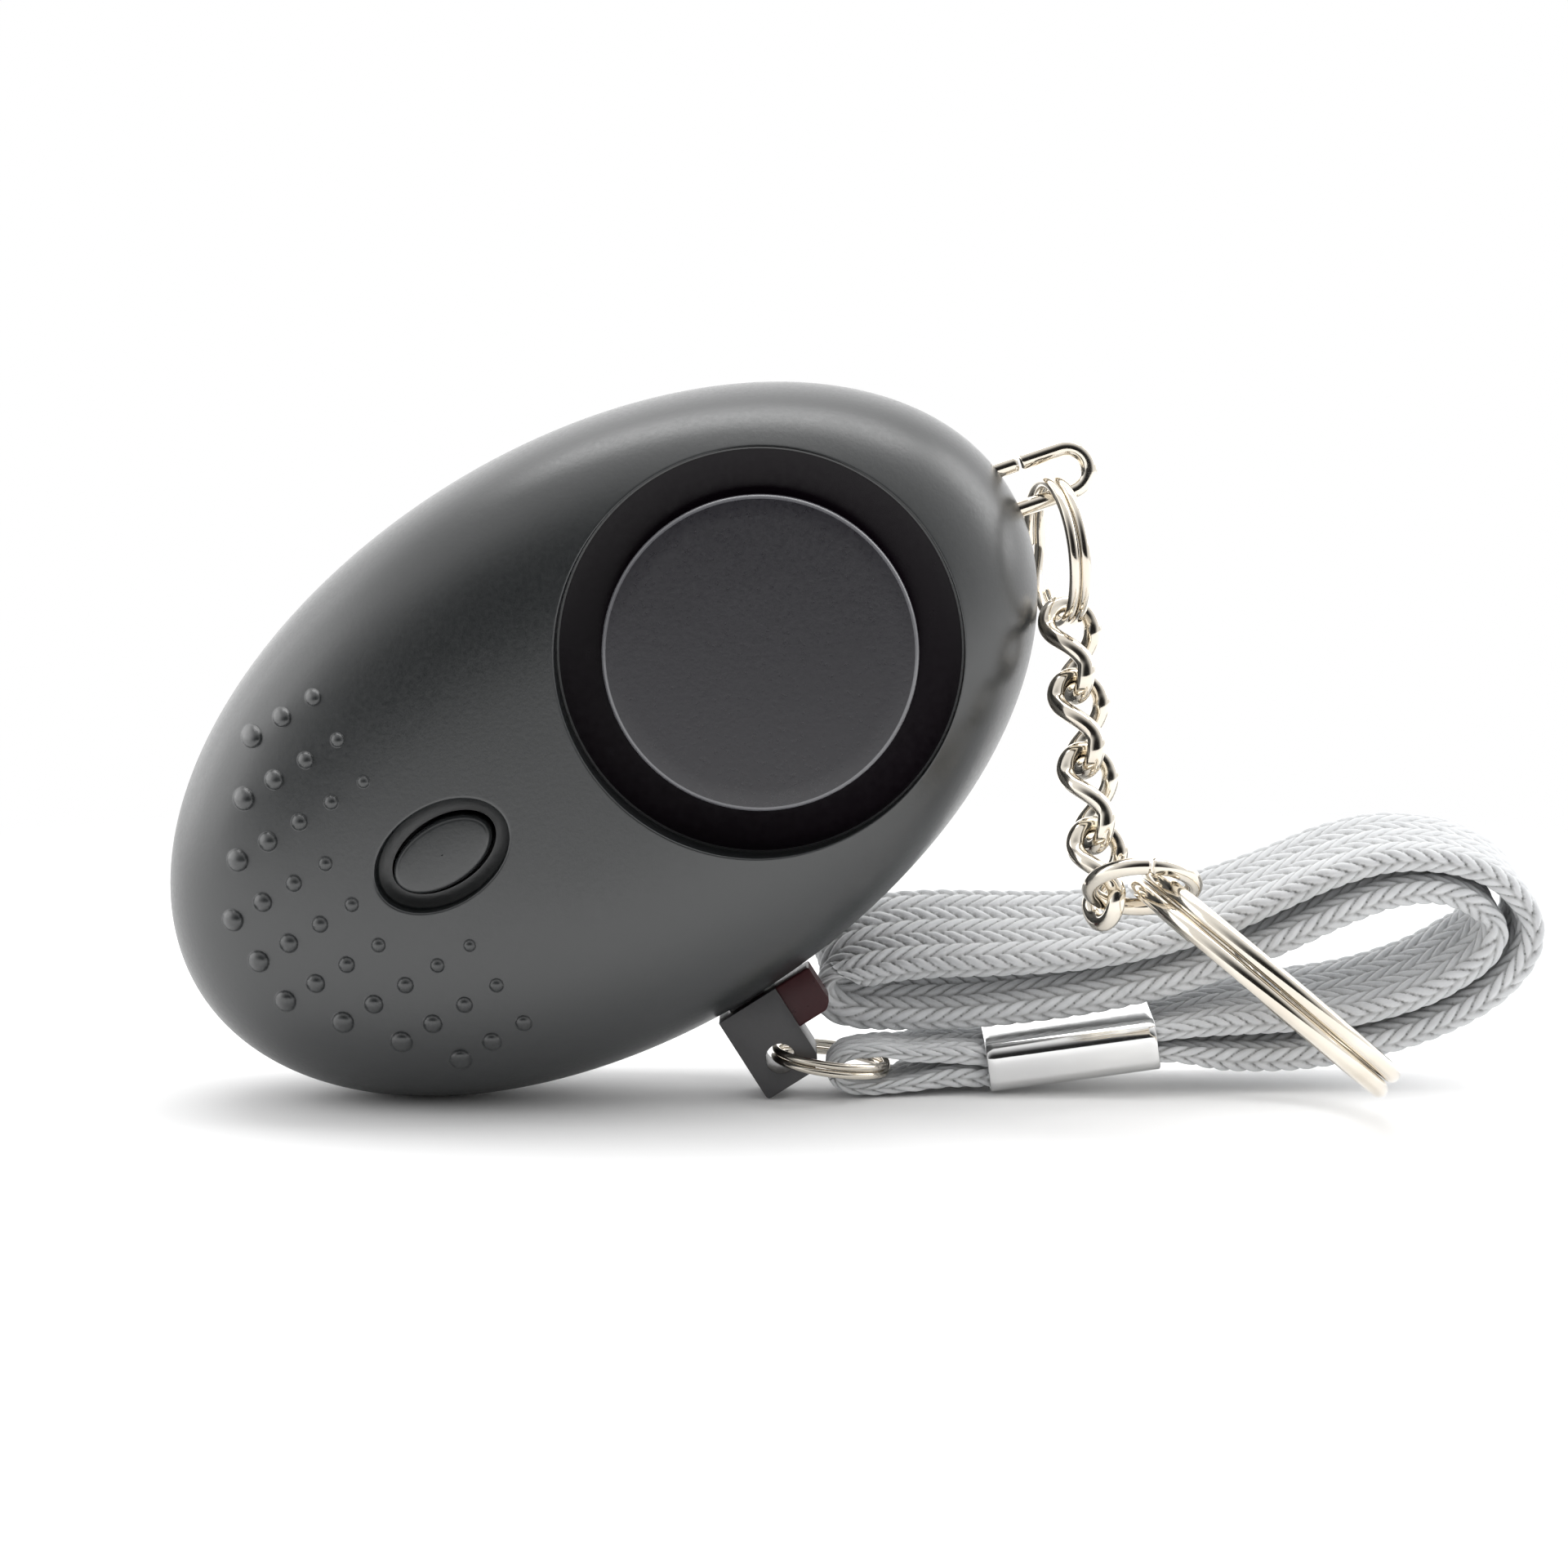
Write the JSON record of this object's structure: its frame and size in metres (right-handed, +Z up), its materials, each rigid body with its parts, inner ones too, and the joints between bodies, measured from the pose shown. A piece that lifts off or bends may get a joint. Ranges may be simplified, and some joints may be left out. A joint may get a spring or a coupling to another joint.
{
  "type": "personal safety alarm",
  "caption": "Pebble-shaped pocket alarm with a round siren, a torch button, a pull pin on a plaited wrist strap, and a short chain with a key ring.",
  "frame": {"origin": "on the floor, under the middle of everything but the strap", "axes": "+X to the chain end, +Y from the siren face to the back, +Z up"},
  "size_m": [0.0914, 0.0312, 0.0472],
  "materials": {
    "casing": "fine spark texture",
    "siren_disc": "fine texture, glossy groove",
    "gasket": "matte",
    "sounder_brass": "satin",
    "ceramic": "satin",
    "inner_plastic": "moulded",
    "lead_sleeve": "satin",
    "button_pad": "fine texture",
    "switch_plunger": "moulded",
    "board": "solder mask",
    "chip": "moulded",
    "coil": "ferrite",
    "capacitor": "sleeve",
    "lamp": "clear",
    "tinned_metal": "tinned",
    "cell_steel": "satin",
    "contact_brass": "sprung",
    "screw_steel": "plated",
    "pin_plastic": "matte tab, glossy shoulder",
    "ring_metal": "nickel plated",
    "strap_weave": "flat plait",
    "ferrule_metal": "rolled sleeve"
  },
  "bodies": {
    "casing": {"front_shell": "casing", "rear_shell": "casing", "siren_cap": "siren_disc", "siren_gasket": "gasket", "sounder_plate": "sounder_brass", "sounder_ceramic": "ceramic", "siren_retainer": "inner_plastic", "sounder_leads": "lead_sleeve", "switch_body": "inner_plastic", "circuit_board": "board", "driver_chip": "chip", "step_up_coil": "coil", "filter_capacitor": "capacitor", "torch_lamp": "lamp", "lamp_leads": "tinned_metal", "battery_tray": "inner_plastic", "button_cell_1": "cell_steel", "button_cell_2": "cell_steel", "button_cell_3": "cell_steel", "cell_spring_single": "tinned_metal", "cell_spring_bridge": "tinned_metal", "cell_strip_bridge": "tinned_metal", "cell_strip_single": "tinned_metal", "pin_switch_block": "inner_plastic", "pin_contact_front": "contact_brass", "pin_contact_rear": "contact_brass", "case_screws": "screw_steel"},
    "button": {"light_button": "button_pad", "switch_plunger": "switch_plunger"},
    "pin": {"pull_pin": "pin_plastic"},
    "pin_ring": {"pin_ring": "ring_metal"},
    "strap": {"strap_ring_loop": "strap_weave", "strap_ferrule": "ferrule_metal", "strap_wrist_loop": "strap_weave"},
    "bail": {"bail": "ring_metal"},
    "bail_ring": {"bail_ring": "ring_metal"},
    "chain_link_1": {"chain_link_1": "ring_metal"},
    "chain_link_2": {"chain_link_2": "ring_metal"},
    "chain_link_3": {"chain_link_3": "ring_metal"},
    "chain_link_4": {"chain_link_4": "ring_metal"},
    "jump_ring": {"jump_ring": "ring_metal"},
    "key_ring": {"key_ring": "ring_metal"}
  },
  "joints": [
    {"name": "button_press", "type": "slide", "parent": "casing", "child": "button", "axis": [0, 1, 0], "range_m": [0, 0.0006], "stiffness_N_per_m": 800},
    {"name": "pin_pull", "type": "slide", "parent": "casing", "child": "pin", "axis": [0.5344, 0, -0.8453], "range_m": [0, 0.013]},
    {"name": "pin_ring_swing", "type": "hinge", "parent": "pin", "child": "pin_ring", "pos_m": [0.00054, 0.0054, 0.00278], "axis": [0, 1, 0], "range_deg": [0, 25]},
    {"name": "strap_swing", "type": "hinge", "parent": "pin_ring", "child": "strap", "pos_m": [0.00763, 0.0054, 0.00185], "axis": [0, 1, 0], "range_deg": [0, 10]},
    {"name": "bail_swing", "type": "hinge", "parent": "casing", "child": "bail", "pos_m": [0.01213, 0.0054, 0.03909], "axis": [0, 1, 0], "range_deg": [-7, 0]},
    {"name": "bail_ring_swing", "type": "hinge", "parent": "bail", "child": "bail_ring", "pos_m": [0.018, 0.0054, 0.03954], "axis": [-0.9478, 0, -0.319], "range_deg": [0, 30]},
    {"name": "link_1_swing", "type": "hinge", "parent": "bail_ring", "child": "chain_link_1", "pos_m": [0.01935, 0.00331, 0.03172], "axis": [0, 1, 0], "range_deg": [-15, 3]},
    {"name": "link_2_swing", "type": "hinge", "parent": "chain_link_1", "child": "chain_link_2", "pos_m": [0.01975, 0.00134, 0.02769], "axis": [0, 1, 0], "range_deg": [-12, 3]},
    {"name": "link_3_swing", "type": "hinge", "parent": "chain_link_2", "child": "chain_link_3", "pos_m": [0.02021, -0.00088, 0.02312], "axis": [0, 1, 0], "range_deg": [-12, 3]},
    {"name": "link_4_swing", "type": "hinge", "parent": "chain_link_3", "child": "chain_link_4", "pos_m": [0.0206, -0.00282, 0.01916], "axis": [0, 1, 0], "range_deg": [-12, 3]},
    {"name": "jump_ring_swing", "type": "hinge", "parent": "chain_link_4", "child": "jump_ring", "pos_m": [0.02106, -0.00505, 0.01458], "axis": [0, 1, 0], "range_deg": [-5, 12]},
    {"name": "key_ring_swing", "type": "hinge", "parent": "jump_ring", "child": "key_ring", "pos_m": [0.02391, -0.00715, 0.01588], "axis": [0, 1, 0], "range_deg": [0, 10]}
  ]
}
